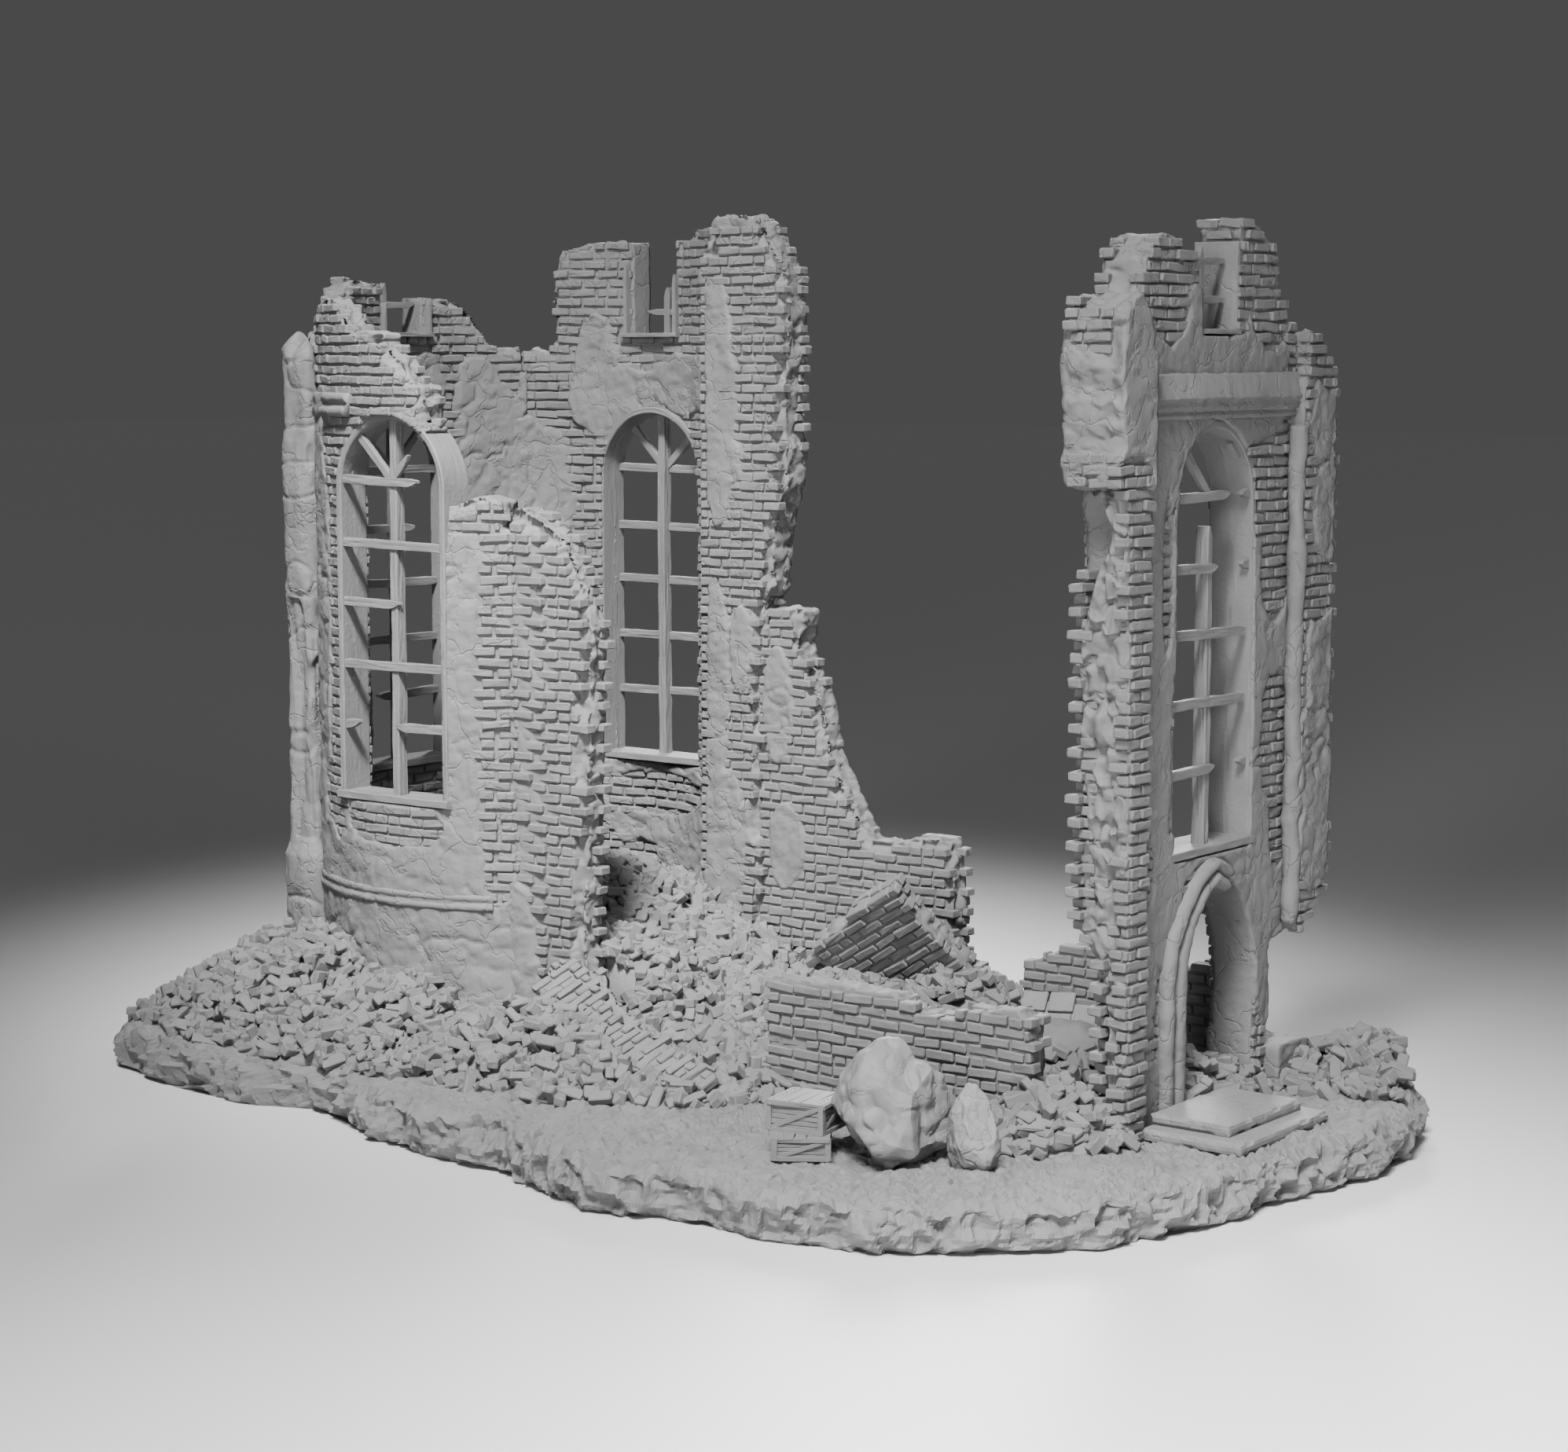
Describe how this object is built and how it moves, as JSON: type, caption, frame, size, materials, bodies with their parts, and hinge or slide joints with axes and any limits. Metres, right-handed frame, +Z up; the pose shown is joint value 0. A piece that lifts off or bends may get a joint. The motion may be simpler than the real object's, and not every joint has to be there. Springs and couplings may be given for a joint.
{
  "type": "tabletop terrain chapel ruin",
  "caption": "Ruined chapel terrain piece: round apse, broken nave walls and tall door wall standing in brick rubble on a rocky base, with arched windows, steps, boulders and crates.",
  "frame": {"origin": "centre of the overall box, on the flat underside of the base", "axes": "+X along the nave from the round apse to the door wall, +Y across the nave towards the taller rear wall, +Z up"},
  "size_m": [0.349, 0.221, 0.225],
  "materials": {
    "plaster": "matte cast resin, cracked plaster over brick",
    "brick": "matte cast resin, sharp brick courses and rough mortar",
    "timber": "matte cast resin, scored wood grain",
    "stone": "matte cast resin, chipped stone",
    "ground": "matte cast resin, rough pitted earth and rock"
  },
  "bodies": {
    "root": {"apse_band_end": "plaster", "apse_band_front": "plaster", "apse_band_rear": "plaster", "apse_column_front": "plaster", "apse_column_rear": "plaster", "apse_cornice_end": "plaster", "apse_cornice_front": "plaster", "apse_cornice_rear": "plaster", "apse_wall_end": "plaster", "apse_wall_front": "plaster", "apse_wall_rear": "plaster", "base": "ground", "boulder_large": "stone", "boulder_small": "stone", "chancel_pier_rear": "plaster", "crate_lower": "timber", "crate_upper": "timber", "door_surround": "plaster", "facade_cornice": "plaster", "facade_nook_shaft": "plaster", "facade_pier_left_core": "brick", "facade_pilaster_left": "plaster", "facade_pilaster_right": "plaster", "facade_plinth_right": "plaster", "facade_wall": "plaster", "facade_window_bars": "timber", "facade_window_frame": "timber", "fallen_plank_a": "timber", "fallen_plank_b": "timber", "fallen_wall_fragment": "brick", "fallen_wall_slab": "brick", "floor_tiles": "stone", "nave_wall_front_low": "brick", "nave_wall_front_stub": "brick", "nave_wall_rear_low": "brick", "nave_wall_rear_stepped": "brick", "rubble_apse": "brick", "rubble_doorway": "brick", "rubble_floor_bed": "brick", "rubble_front_pier": "brick", "rubble_gap": "brick", "rubble_left": "brick", "rubble_nave": "brick", "rubble_right": "brick", "small_bars_end": "timber", "small_bars_facade": "timber", "small_bars_rear": "timber", "small_frame_end": "timber", "small_frame_facade": "timber", "small_frame_rear": "timber", "step_lower": "stone", "step_upper": "stone", "window_bars_end": "timber", "window_bars_front": "timber", "window_bars_rear": "timber", "window_frame_end": "timber", "window_frame_front": "timber", "window_frame_rear": "timber"}
  },
  "joints": []
}
